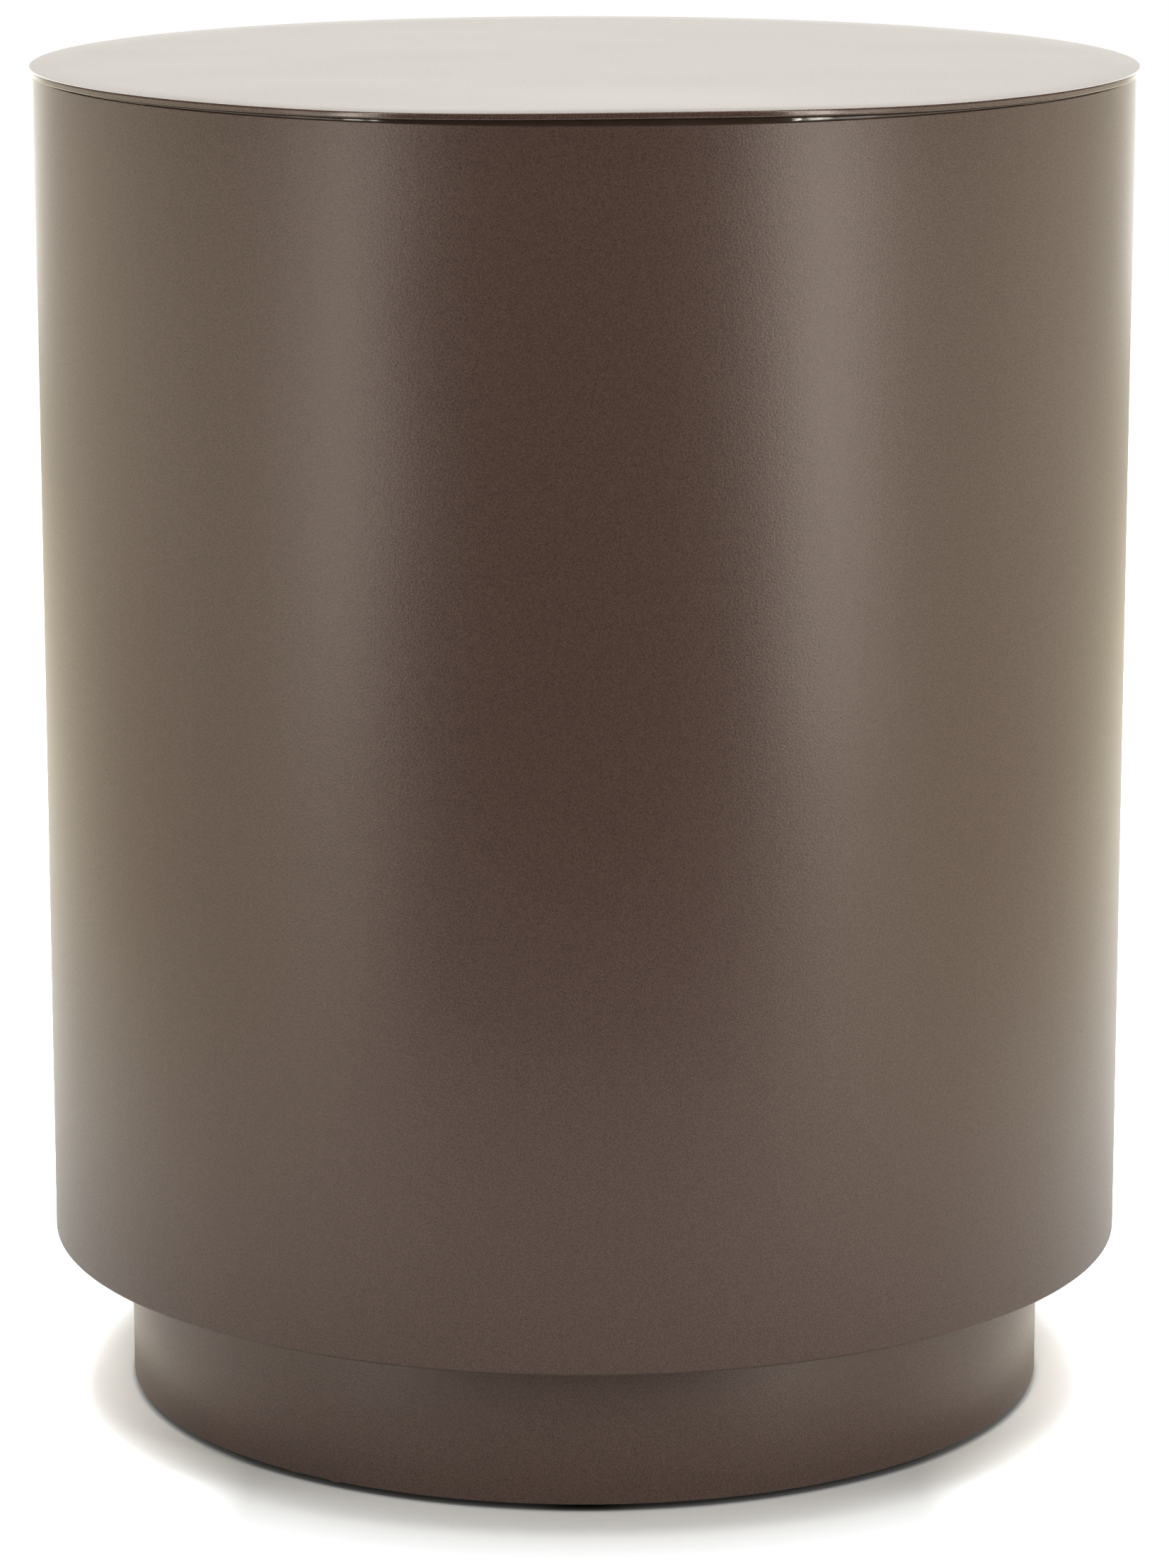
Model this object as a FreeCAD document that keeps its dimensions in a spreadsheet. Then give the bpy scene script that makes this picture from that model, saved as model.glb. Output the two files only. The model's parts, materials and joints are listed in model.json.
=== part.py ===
import FreeCAD, Part
import os
import re
import Sketcher

# Round side table: a straight steel drum on a recessed plinth, with a thin disc for its top.
# Millimetres, +Z up. The origin is on the floor, in the middle under the table.
# The disc is bonded to the drum with a bead of elastic adhesive, the drum's floor is bolted to the
# plinth from below, and the plinth stands on four glides that its lower edge almost hides.

doc = FreeCAD.newDocument("side_table")

# Every size that can be set by itself
SIZES = {
    # Daylight under the plinth, then the heights that stack up to the table's
    "foot_clearance": 2.4,
    "plinth_height": 58.0,
    "drum_height": 431.0,
    "drum_radius": 200.0,
    "plinth_inset": 28.5,
    # Room between two curved faces that are welded or bonded, and the overrun of a cut
    "fit_gap": 0.3,
    "cut_overrun": 1.0,
    # Disc on top
    "plate_sheet": 2.0,
    "plate_overhang": 2.2,
    "plate_edge_round": 0.7,
    # Adhesive bead between the disc and the rim, its outer face hollow
    "bead_height": 2.6,
    "bead_width": 8.0,
    "bead_inset": 0.3,
    "bead_hollow": 0.5,
    # Drum: rolled wall, ring under the rim, floor
    "wall_sheet": 1.2,
    "wall_base_round": 1.0,
    "wall_rim_round": 0.2,
    "rim_ring_sheet": 4.0,
    "rim_ring_width": 20.0,
    "floor_sheet": 1.5,
    # Two flat bars on edge, half-lapped under the disc, their ends turned along the wall
    "bar_sheet": 4.0,
    "bar_height": 30.0,
    "bar_tab_width": 22.0,
    "lap_gap": 0.2,
    "strip_start": 24.0,
    "strip_length": 120.0,
    # Plinth: rolled wall and the ring that takes the bolts
    "plinth_sheet": 1.5,
    "plinth_base_round": 0.5,
    "mounting_ring_sheet": 3.0,
    "mounting_ring_width": 24.0,
    # M6 bolts, washers and weld nuts
    "bolt_count": 4,
    "bolt_radius": 3.0,
    "bolt_hole_gap": 0.3,
    "bolt_head_flats": 10.0,
    "bolt_head_height": 4.0,
    "bolt_washer_radius": 6.0,
    "bolt_washer_sheet": 1.6,
    "bolt_nut_height": 5.0,
    "bolt_spare_length": 1.5,
    "thread_gap": 0.05,
    # Bent foot brackets inside the plinth
    "bracket_sheet": 3.0,
    "bracket_width": 30.0,
    "bracket_rise": 26.0,
    "bracket_end": 16.0,
    "bracket_bend": 4.5,
    "bracket_corner": 5.0,
    # Glides under the brackets, each with an M5 pan-head screw and a weld nut
    "glide_inset": 22.0,
    "glide_radius": 14.0,
    "glide_height": 8.0,
    "glide_round": 1.5,
    "glide_recess_radius": 5.5,
    "glide_recess_depth": 4.2,
    "screw_radius": 2.5,
    "screw_hole_gap": 0.3,
    "screw_head_radius": 4.7,
    "screw_head_height": 2.8,
    "screw_head_round": 1.2,
    "screw_nut_flats": 8.0,
    "screw_nut_height": 4.0,
    "screw_spare_length": 1.2,
}

sheet = doc.addObject("Spreadsheet::Sheet", "sizes")
for row, (alias, number) in enumerate(SIZES.items(), start=1):
    sheet.set(f"A{row}", alias)
    sheet.set(f"B{row}", str(number))
    sheet.setAlias(f"B{row}", alias)
doc.recompute()

# Sizes and levels worked out from those above, as text that bind() turns into expressions
WALL_INNER = "(drum_radius - wall_sheet)"
WALL_SEAT = f"({WALL_INNER} - fit_gap)"
PLINTH_OUTER = "(drum_radius - plinth_inset)"
PLINTH_INNER = f"({PLINTH_OUTER} - plinth_sheet)"
PLINTH_SEAT = f"({PLINTH_INNER} - fit_gap)"
DRUM_BASE = "(foot_clearance + plinth_height)"
FLOOR_TOP = f"({DRUM_BASE} + floor_sheet)"
RIM = f"({DRUM_BASE} + drum_height)"
RING_UNDERSIDE = f"({RIM} - rim_ring_sheet)"
RING_INNER = f"({WALL_SEAT} - rim_ring_width)"
PLATE_UNDERSIDE = f"({RIM} + bead_height)"
BOLT_CIRCLE = f"({PLINTH_SEAT} - mounting_ring_width / 2)"
BOLT_HOLE = "(bolt_radius + bolt_hole_gap)"
WASHER_TOP = f"({DRUM_BASE} - mounting_ring_sheet)"
WASHER_BASE = f"({WASHER_TOP} - bolt_washer_sheet)"
GLIDE_CIRCLE = f"({PLINTH_INNER} - glide_inset)"
SCREW_HOLE = "(screw_radius + screw_hole_gap)"
BRACKET_TOP = "(glide_height + bracket_sheet)"
BRACKET_OUTER = f"sqrt({PLINTH_SEAT} ^ 2 - (bracket_width / 2) ^ 2)"

UPWARD = FreeCAD.Vector(0, 0, 1)
HEXAGON_SIDES = 6
FOOT_NAMES = ("right", "back", "left", "front")
# The bolts stand between the feet, where a socket reaches them from below
BOLT_TURN = 180 / len(FOOT_NAMES)


def bind(text):
    """Puts the sheet's name before each of its sizes in text, such as drum_radius - fit_gap."""
    return re.sub(r"[a-z]+(?:_[a-z]+)+", lambda found: "sizes." + found.group(), text)


def value(text):
    """The number that text comes to."""
    return float(sheet.evalExpression(bind(text)))


def new_body(label):
    body = doc.addObject("PartDesign::Body", label)
    body.Label = label
    return body


def origin_feature(body, role):
    return next(found for found in body.Origin.OriginFeatures if found.Role == role)


def new_sketch(body, name, plane="XY_Plane", level=None):
    """A sketch on one of the body's own planes, lifted to level where one is given."""
    sketch = body.newObject("Sketcher::SketchObject", name)
    sketch.AttachmentSupport = (origin_feature(body, plane), [""])
    sketch.MapMode = "FlatFace"
    if level:
        sketch.setExpression("AttachmentOffset.Base.z", bind(level))
    return sketch


def dimension(sketch, kind, arguments, text):
    """Adds a dimension of the sketch and binds it to the sizes in text."""
    index = sketch.addConstraint(Sketcher.Constraint(kind, *arguments, value(text)))
    sketch.setExpression(f"Constraints[{index}]", bind(text))


def pin_point(sketch, geometry, point, x_text=None, y_text=None):
    """Places a point of the sketch at sizes along its axes, or on an axis where a size is zero."""
    for kind, axis, text in (("DistanceX", -2, x_text), ("DistanceY", -1, y_text)):
        if text is None:
            continue
        if text == "0":
            sketch.addConstraint(Sketcher.Constraint("PointOnObject", geometry, point, axis))
        else:
            dimension(sketch, kind, (-1, 1, geometry, point), text)


def add_circle(sketch, radius, x_text="0", y_text="0"):
    centre = FreeCAD.Vector(value(x_text), value(y_text), 0)
    index = sketch.addGeometry(Part.Circle(centre, UPWARD, value(radius)))
    dimension(sketch, "Radius", (index,), radius)
    pin_point(sketch, index, 3, x_text, y_text)
    return index


def add_outline(sketch, corners):
    """Draws a closed outline of level and upright sides, anticlockwise.

    A corner is (x, y) or (x, y, radius of its round), each a text of sizes."""
    points = [FreeCAD.Vector(value(corner[0]), value(corner[1]), 0) for corner in corners]
    rounds = [corner[2] if len(corner) > 2 else None for corner in corners]
    radii = [value(text) if text else 0 for text in rounds]
    count = len(corners)
    sides = []
    for start in range(count):
        end = (start + 1) % count
        along = (points[end] - points[start]).normalize()
        first = points[start] + along * radii[start]
        last = points[end] - along * radii[end]
        side = sketch.addGeometry(Part.LineSegment(first, last))
        level = abs(along.x) > abs(along.y)
        sketch.addConstraint(Sketcher.Constraint("Horizontal" if level else "Vertical", side))
        if level:
            pin_point(sketch, side, 1, y_text=corners[start][1])
        else:
            pin_point(sketch, side, 1, x_text=corners[start][0])
        sides.append((side, along))
    for corner in range(count):
        before, arriving = sides[corner - 1]
        after, leaving = sides[corner]
        if not rounds[corner]:
            sketch.addConstraint(Sketcher.Constraint("Coincident", before, 2, after, 1))
            continue
        left_turn = arriving.cross(leaving).z > 0
        centre = points[corner] + (leaving - arriving) * radii[corner]
        ends = [points[corner] - arriving * radii[corner], points[corner] + leaving * radii[corner]]
        if not left_turn:
            ends.reverse()
        circle = Part.Circle(centre, UPWARD, radii[corner])
        arc = sketch.addGeometry(Part.ArcOfCircle(circle, *[circle.parameter(end) for end in ends]))
        first, last = (1, 2) if left_turn else (2, 1)
        sketch.addConstraint(Sketcher.Constraint("Tangent", before, 2, arc, first))
        sketch.addConstraint(Sketcher.Constraint("Tangent", arc, last, after, 1))
        dimension(sketch, "Radius", (arc,), rounds[corner])


def add_hexagon(sketch, flats, x_text="0"):
    """A regular hexagon, its first corner away from the sketch's origin."""
    turn = 360 / HEXAGON_SIDES
    radius = f"({flats} / 2 / cos({turn} / 2))"
    guide = add_circle(sketch, radius, x_text)
    sketch.setConstruction(guide, True)
    centre = FreeCAD.Vector(value(x_text), 0, 0)
    reach = FreeCAD.Vector(value(radius), 0, 0)
    points = []
    for step in range(HEXAGON_SIDES):
        points.append(centre + FreeCAD.Rotation(UPWARD, turn * step).multVec(reach))
    sides = []
    for step in range(HEXAGON_SIDES):
        sides.append(sketch.addGeometry(Part.LineSegment(points[step - 1], points[step])))
    for step in range(HEXAGON_SIDES):
        sketch.addConstraint(Sketcher.Constraint("Coincident", sides[step - 1], 2, sides[step], 1))
        sketch.addConstraint(Sketcher.Constraint("PointOnObject", sides[step], 2, guide))
        if step:
            sketch.addConstraint(Sketcher.Constraint("Equal", sides[0], sides[step]))
    sketch.addConstraint(Sketcher.Constraint("PointOnObject", sides[0], 2, -1))


def pad(body, name, sketch, length, midplane=False):
    feature = body.newObject("PartDesign::Pad", name)
    feature.Profile = sketch
    feature.Midplane = midplane
    feature.setExpression("Length", bind(length))
    body.Tip = feature
    return feature


def revolve(body, name, sketch):
    feature = body.newObject("PartDesign::Revolution", name)
    feature.Profile = sketch
    feature.ReferenceAxis = (origin_feature(body, "Z_Axis"), [""])
    feature.Angle = 360
    body.Tip = feature
    return feature


def polar_pattern(body, name, features, count):
    """Repeats features round the table's axis, count times in a full turn."""
    pattern = body.newObject("PartDesign::PolarPattern", name)
    pattern.Originals = features
    pattern.Axis = (origin_feature(body, "Z_Axis"), [""])
    pattern.Angle = 360
    pattern.setExpression("Occurrences", bind(count))
    body.Tip = pattern
    return pattern


def drill(body, name, radius, x_text, level, depth):
    """Cuts a round hole down from level at x_text from the body's axis."""
    sketch = new_sketch(body, name + "_circle", level=level)
    add_circle(sketch, radius, x_text)
    doc.recompute()
    before = body.Shape.Volume
    cut = body.newObject("PartDesign::Pocket", name)
    cut.Profile = sketch
    cut.setExpression("Length", bind(depth + " + cut_overrun"))
    body.Tip = cut
    doc.recompute()
    if body.Shape.Volume >= before:
        raise RuntimeError(f"{name} cuts nothing from {body.Label}")
    return cut


def fillet(body, name, radius, wanted):
    """Rounds the edges of the body's tip whose middle is wanted."""
    doc.recompute()
    base = body.Tip
    edges = []
    for number, edge in enumerate(base.Shape.Edges, start=1):
        if wanted(edge):
            edges.append(f"Edge{number}")
    feature = body.newObject("PartDesign::Fillet", name)
    feature.Base = (base, edges)
    feature.setExpression("Radius", bind(radius))
    body.Tip = feature
    return feature


def turn_about_axis(body, angle, reach=None):
    """Turns a body about the table's axis, and moves it out along that direction by reach."""
    body.Placement = FreeCAD.Placement(FreeCAD.Vector(), FreeCAD.Rotation(UPWARD, angle))
    if reach:
        body.setExpression("Placement.Base.x", bind(f"{reach} * cos({angle})"))
        body.setExpression("Placement.Base.y", bind(f"{reach} * sin({angle})"))


def ring_body(label, outer, inner, base, height):
    """A flat ring of sheet: its two radii, the level of its underside and its thickness."""
    body = new_body(label)
    sketch = new_sketch(body, label + "_circles", level=base)
    add_circle(sketch, outer)
    add_circle(sketch, inner)
    pad(body, label + "_sheet", sketch, height)
    return body


def rolled_wall(label, outer, thickness, base, top, base_round, rim_round=None):
    """A rolled sheet wall, its lower outer edge rounded and its upper one where a round is given."""
    body = new_body(label)
    sketch = new_sketch(body, label + "_section", "XZ_Plane")
    inner = f"({outer} - {thickness})"
    upper = (outer, top, rim_round) if rim_round else (outer, top)
    add_outline(sketch, [(inner, base), (outer, base, base_round), upper, (inner, top)])
    revolve(body, label + "_roll", sketch)
    return body


# Disc on top, its two outer edges eased
def make_top_plate():
    body = new_body("top_plate")
    sketch = new_sketch(body, "plate_circle", level=PLATE_UNDERSIDE)
    add_circle(sketch, "drum_radius + plate_overhang")
    pad(body, "plate_blank", sketch, "plate_sheet")
    fillet(body, "plate_edges", "plate_edge_round", lambda edge: isinstance(edge.Curve, Part.Circle))
    return body


# Adhesive bead: flat where it meets the rim and the disc, with a hollow outer face
def make_rim_seal():
    body = new_body("rim_seal")
    sketch = new_sketch(body, "bead_section", "XZ_Plane")
    outer = "(drum_radius - bead_inset)"
    inner = f"({outer} - bead_width)"
    low, high, left, right = [value(text) for text in (RIM, PLATE_UNDERSIDE, inner, outer)]
    places = ((right, high), (left, high), (left, low), (right, low))
    corners = [FreeCAD.Vector(*place) for place in places]
    sides = [sketch.addGeometry(Part.LineSegment(*corners[step:step + 2])) for step in range(3)]
    hollow = FreeCAD.Vector(right - value("bead_hollow"), (low + high) / 2)
    face = sketch.addGeometry(Part.Arc(corners[3], hollow, corners[0]))
    for kind, side in zip(("Horizontal", "Vertical", "Horizontal"), sides):
        sketch.addConstraint(Sketcher.Constraint(kind, side))
    for before, after in zip(sides, sides[1:]):
        sketch.addConstraint(Sketcher.Constraint("Coincident", before, 2, after, 1))
    sketch.addConstraint(Sketcher.Constraint("Coincident", sides[0], 1, face, 1))
    sketch.addConstraint(Sketcher.Constraint("Coincident", sides[2], 2, face, 2))
    pin_point(sketch, sides[0], 1, outer, PLATE_UNDERSIDE)
    pin_point(sketch, sides[2], 1, inner, RIM)
    pin_point(sketch, sides[2], 2, outer)
    curve = "((bead_height / 2) ^ 2 + bead_hollow ^ 2) / (2 * bead_hollow)"
    dimension(sketch, "Radius", (face,), curve)
    revolve(body, "bead_ring", sketch)
    return body


# Flat bar on edge from wall to wall. Its ends step down under the rim ring and turn along the wall.
def make_brace_bar(label, angle, notch_on_top):
    body = new_body(label)
    half = "(bar_sheet / 2)"
    reach = f"({WALL_SEAT} - bar_sheet / 2)"
    base = f"({RIM} - bar_height)"
    lap = f"({RIM} - bar_height / 2)"
    step = f"({RING_INNER} - fit_gap)"
    notch = f"({half} + lap_gap)"
    notched = [(notch, RIM), (notch, lap), ("-" + notch, lap), ("-" + notch, RIM)]
    under = [("-" + notch, base), ("-" + notch, lap), (notch, lap), (notch, base)]
    corners = [("-" + reach, base)]
    corners += [] if notch_on_top else under
    corners += [(reach, base), (reach, RING_UNDERSIDE), (step, RING_UNDERSIDE), (step, RIM)]
    corners += notched if notch_on_top else []
    corners += [("-" + step, RIM), ("-" + step, RING_UNDERSIDE), ("-" + reach, RING_UNDERSIDE)]
    side_view = new_sketch(body, label + "_side", "XZ_Plane")
    add_outline(side_view, corners)
    pad(body, label + "_web", side_view, "bar_sheet", midplane=True)

    plan = new_sketch(body, label + "_tab_plan", level=base)
    outer, inner = WALL_SEAT, f"({WALL_SEAT} - bar_sheet)"
    rows = ("-" + half, "bar_tab_width")
    ends = {}
    arcs = []
    for radius in (inner, outer):
        points = []
        for row in rows:
            points.append(FreeCAD.Vector(value(f"sqrt({radius} ^ 2 - ({row}) ^ 2)"), value(row), 0))
        circle = Part.Circle(FreeCAD.Vector(), UPWARD, value(radius))
        arc = plan.addGeometry(Part.ArcOfCircle(circle, *[circle.parameter(point) for point in points]))
        plan.addConstraint(Sketcher.Constraint("Coincident", arc, 3, -1, 1))
        dimension(plan, "Radius", (arc,), radius)
        arcs.append(arc)
        ends[arc] = points
    for point, row in enumerate(rows):
        line = plan.addGeometry(Part.LineSegment(*[ends[arc][point] for arc in arcs]))
        plan.addConstraint(Sketcher.Constraint("Horizontal", line))
        for number, arc in enumerate(arcs, start=1):
            plan.addConstraint(Sketcher.Constraint("Coincident", line, number, arc, point + 1))
        pin_point(plan, line, 1, y_text=row)
    tab = pad(body, label + "_tab", plan, f"{RING_UNDERSIDE} - {base}")
    polar_pattern(body, label + "_tabs", [tab], "2")
    turn_about_axis(body, angle)
    return body


# Adhesive strips along the bars' top edges, one on each arm of the cross
def make_brace_adhesive():
    body = new_body("brace_adhesive")
    sketch = new_sketch(body, "strip_plan", level=RIM)
    half = "bar_sheet / 2"
    end = "(strip_start + strip_length)"
    add_outline(sketch, [("strip_start", "-" + half), (end, "-" + half), (end, half), ("strip_start", half)])
    strip = pad(body, "strip", sketch, "bead_height")
    polar_pattern(body, "strips", [strip], "4")
    return body


# Bottom of the drum, welded in level with the wall's lower edge
def make_drum_floor():
    body = new_body("drum_floor")
    sketch = new_sketch(body, "floor_circle", level=DRUM_BASE)
    add_circle(sketch, WALL_SEAT)
    pad(body, "floor_blank", sketch, "floor_sheet")
    hole = drill(body, "floor_hole", BOLT_HOLE, BOLT_CIRCLE, FLOOR_TOP, "floor_sheet")
    polar_pattern(body, "floor_holes", [hole], "bolt_count")
    turn_about_axis(body, BOLT_TURN)
    return body


# Ring inside the top of the plinth that takes the bolts
def make_mounting_ring():
    inner = f"({PLINTH_SEAT} - mounting_ring_width)"
    body = ring_body("mounting_ring", PLINTH_SEAT, inner, WASHER_TOP, "mounting_ring_sheet")
    hole = drill(body, "mounting_hole", BOLT_HOLE, BOLT_CIRCLE, DRUM_BASE, "mounting_ring_sheet")
    polar_pattern(body, "mounting_holes", [hole], "bolt_count")
    turn_about_axis(body, BOLT_TURN)
    return body


# Hexagon bolts, from below through the washer, the mounting ring and the floor
def make_plinth_bolts():
    body = new_body("plinth_bolts")
    head_plan = new_sketch(body, "head_plan", level=f"({WASHER_BASE} - bolt_head_height)")
    add_hexagon(head_plan, "bolt_head_flats", BOLT_CIRCLE)
    head = pad(body, "head", head_plan, "bolt_head_height")
    shank_plan = new_sketch(body, "shank_plan", level=WASHER_BASE)
    add_circle(shank_plan, "bolt_radius", BOLT_CIRCLE)
    grip = "bolt_washer_sheet + mounting_ring_sheet + floor_sheet + bolt_nut_height"
    shank = pad(body, "shank", shank_plan, f"{grip} + bolt_spare_length")
    polar_pattern(body, "bolts", [head, shank], "bolt_count")
    turn_about_axis(body, BOLT_TURN)
    return body


def make_plinth_washers():
    body = new_body("plinth_washers")
    sketch = new_sketch(body, "washer_plan", level=WASHER_BASE)
    add_circle(sketch, "bolt_washer_radius", BOLT_CIRCLE)
    add_circle(sketch, BOLT_HOLE, BOLT_CIRCLE)
    washer = pad(body, "washer", sketch, "bolt_washer_sheet")
    polar_pattern(body, "washers", [washer], "bolt_count")
    turn_about_axis(body, BOLT_TURN)
    return body


def make_nuts(label, flats, bore, height, circle, base, count):
    """Hexagon nuts round the table's axis, welded on the sheet below them."""
    body = new_body(label)
    sketch = new_sketch(body, label + "_plan", level=base)
    add_hexagon(sketch, flats, circle)
    add_circle(sketch, bore, circle)
    nut = pad(body, label + "_nut", sketch, height)
    polar_pattern(body, label + "_nuts", [nut], count)
    return body


# Bent bracket inside the plinth: one leg up the wall, the other level over its glide
def make_foot_bracket(name, angle):
    body = new_body("foot_bracket_" + name)
    side_view = new_sketch(body, "bracket_side_" + name, "XZ_Plane")
    inner_end = f"({GLIDE_CIRCLE} - bracket_end)"
    wall_leg = f"({BRACKET_OUTER} - bracket_sheet)"
    tip = "(glide_height + bracket_rise)"
    add_outline(
        side_view,
        [
            (inner_end, "glide_height"),
            (BRACKET_OUTER, "glide_height", "bracket_bend"),
            (BRACKET_OUTER, tip),
            (wall_leg, tip),
            (wall_leg, BRACKET_TOP, "bracket_bend - bracket_sheet"),
            (inner_end, BRACKET_TOP),
        ],
    )
    pad(body, "bracket_blank_" + name, side_view, "bracket_width", midplane=True)
    drill(body, "bracket_hole_" + name, SCREW_HOLE, GLIDE_CIRCLE, BRACKET_TOP, "bracket_sheet")
    hole_edge = value(f"{GLIDE_CIRCLE} - {SCREW_HOLE}")
    fillet(
        body,
        "bracket_corners_" + name,
        "bracket_corner",
        lambda edge: edge.BoundBox.XMax < hole_edge and edge.BoundBox.ZLength > edge.BoundBox.YLength,
    )
    turn_about_axis(body, angle)
    return body


# Glide: a turned nylon foot with a recess below for the screw's head
def make_foot_glide(name, angle):
    body = new_body("foot_glide_" + name)
    section = new_sketch(body, "glide_section_" + name, "XZ_Plane")
    add_outline(
        section,
        [
            ("glide_recess_radius", "0"),
            ("glide_radius", "0", "glide_round"),
            ("glide_radius", "glide_height"),
            (SCREW_HOLE, "glide_height"),
            (SCREW_HOLE, "glide_recess_depth"),
            ("glide_recess_radius", "glide_recess_depth"),
        ],
    )
    revolve(body, "glide_turning_" + name, section)
    turn_about_axis(body, angle, GLIDE_CIRCLE)
    return body


# Pan-head screws, up through the glide and the bracket
def make_glide_screws():
    body = new_body("glide_screws")
    head_plan = new_sketch(body, "pan_plan", level="(glide_recess_depth - screw_head_height)")
    add_circle(head_plan, "screw_head_radius", GLIDE_CIRCLE)
    pan = pad(body, "pan", head_plan, "screw_head_height")
    middle = value("glide_recess_depth - screw_head_height / 2")
    rounded = fillet(body, "pan_round", "screw_head_round", lambda edge: edge.BoundBox.ZMax < middle)
    shank_plan = new_sketch(body, "screw_shank_plan", level="glide_recess_depth")
    add_circle(shank_plan, "screw_radius", GLIDE_CIRCLE)
    length = f"{BRACKET_TOP} + screw_nut_height + screw_spare_length - glide_recess_depth"
    shank = pad(body, "screw_shank", shank_plan, length)
    polar_pattern(body, "screws", [pan, rounded, shank], str(len(FOOT_NAMES)))
    return body


def main():
    make_top_plate()
    make_rim_seal()
    drum_rounds = ("wall_base_round", "wall_rim_round")
    rolled_wall("drum_shell", "drum_radius", "wall_sheet", DRUM_BASE, RIM, *drum_rounds)
    ring_body("rim_ring", WALL_SEAT, RING_INNER, RING_UNDERSIDE, "rim_ring_sheet")
    make_brace_bar("brace_bar_lower", 0, True)
    make_brace_bar("brace_bar_upper", 90, False)
    make_brace_adhesive()
    make_drum_floor()
    plinth_levels = ("foot_clearance", DRUM_BASE)
    rolled_wall("plinth_shell", PLINTH_OUTER, "plinth_sheet", *plinth_levels, "plinth_base_round")
    make_mounting_ring()
    make_plinth_bolts()
    make_plinth_washers()
    bolt_nut = ("bolt_head_flats", "(bolt_radius + thread_gap)", "bolt_nut_height")
    plinth_nuts = make_nuts("plinth_nuts", *bolt_nut, BOLT_CIRCLE, FLOOR_TOP, "bolt_count")
    turn_about_axis(plinth_nuts, BOLT_TURN)
    screw_nut = ("screw_nut_flats", "(screw_radius + thread_gap)", "screw_nut_height")
    make_nuts("glide_nuts", *screw_nut, GLIDE_CIRCLE, BRACKET_TOP, str(len(FOOT_NAMES)))
    make_glide_screws()
    for number, name in enumerate(FOOT_NAMES):
        angle = 360 / len(FOOT_NAMES) * number
        make_foot_bracket(name, angle)
        make_foot_glide(name, angle)
    doc.recompute()


def write_parts():
    """Checks every object, then writes each body to parts/LABEL.step."""
    for found in doc.Objects:
        if "Invalid" in found.State or "Error" in found.State:
            raise RuntimeError(f"{found.Label} did not compute: {found.State}")
    bodies = [found for found in doc.Objects if found.TypeId == "PartDesign::Body"]
    for body in bodies:
        if body.Shape.isNull() or not body.Shape.isValid():
            raise RuntimeError(f"{body.Label} has no valid shape")
    os.makedirs("parts", exist_ok=True)
    for body in bodies:
        body.Shape.exportStep(f"parts/{body.Label}.step")
        box = body.Shape.BoundBox
        print(f"{body.Label}: {len(body.Shape.Solids)} solids, {box.ZMin:.2f} to {box.ZMax:.2f} mm high")


main()
write_parts()
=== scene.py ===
import json
import math

import bmesh
import bpy
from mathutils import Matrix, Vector


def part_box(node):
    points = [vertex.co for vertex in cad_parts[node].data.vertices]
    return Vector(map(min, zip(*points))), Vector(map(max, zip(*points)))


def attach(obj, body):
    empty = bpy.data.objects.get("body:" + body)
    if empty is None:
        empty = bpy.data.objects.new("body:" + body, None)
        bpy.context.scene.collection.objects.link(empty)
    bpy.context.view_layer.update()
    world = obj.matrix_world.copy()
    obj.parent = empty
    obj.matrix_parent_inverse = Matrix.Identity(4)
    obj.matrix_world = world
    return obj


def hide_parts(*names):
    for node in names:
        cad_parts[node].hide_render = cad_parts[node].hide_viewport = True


# A round steel side table: a drum with a thin bonded disc on top, on a recessed plinth.
# Everything visible is one mocha powder coat, but for the dark adhesive bead under the disc.

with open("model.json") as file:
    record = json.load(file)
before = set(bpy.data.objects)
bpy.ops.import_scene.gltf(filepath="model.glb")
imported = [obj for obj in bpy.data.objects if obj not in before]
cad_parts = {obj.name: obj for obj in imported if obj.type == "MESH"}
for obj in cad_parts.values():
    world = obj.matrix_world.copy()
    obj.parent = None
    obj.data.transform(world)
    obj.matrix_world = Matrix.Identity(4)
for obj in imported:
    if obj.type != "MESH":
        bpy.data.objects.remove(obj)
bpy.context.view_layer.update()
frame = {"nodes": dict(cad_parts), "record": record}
MM = 0.001

# Sizes read from the frame
PLATE_LOW, PLATE_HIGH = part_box("top_plate")
DRUM_LOW, DRUM_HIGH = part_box("drum_shell")
PLINTH_LOW, PLINTH_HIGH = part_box("plinth_shell")
PLATE_RADIUS = min(PLATE_HIGH.x, PLATE_HIGH.y, -PLATE_LOW.x, -PLATE_LOW.y)
DRUM_RADIUS = DRUM_HIGH.x
PLINTH_RADIUS = PLINTH_HIGH.x
RIM = DRUM_HIGH.z

# The disc with its coat, and the rounds of its cut edge
PLATE_SHEET = 2.3 * MM
PLATE_TOP_ROUND = 0.7 * MM
PLATE_BASE_ROUND = 0.6 * MM

# The walls. The drum's wall hangs a little below its floor plate.
WALL_SHEET = 1.2 * MM
WALL_BASE_ROUND = 1.0 * MM
WALL_RIM_ROUND = 0.3 * MM
WALL_DROP = 1.1 * MM
PLINTH_SHEET = 1.5 * MM
PLINTH_BASE_ROUND = 0.5 * MM
PLINTH_RIM_ROUND = 0.1 * MM

# The ground weld up the back of both walls
WELD_RISE = 0.15 * MM
WELD_REACH = 5 * MM

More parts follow.
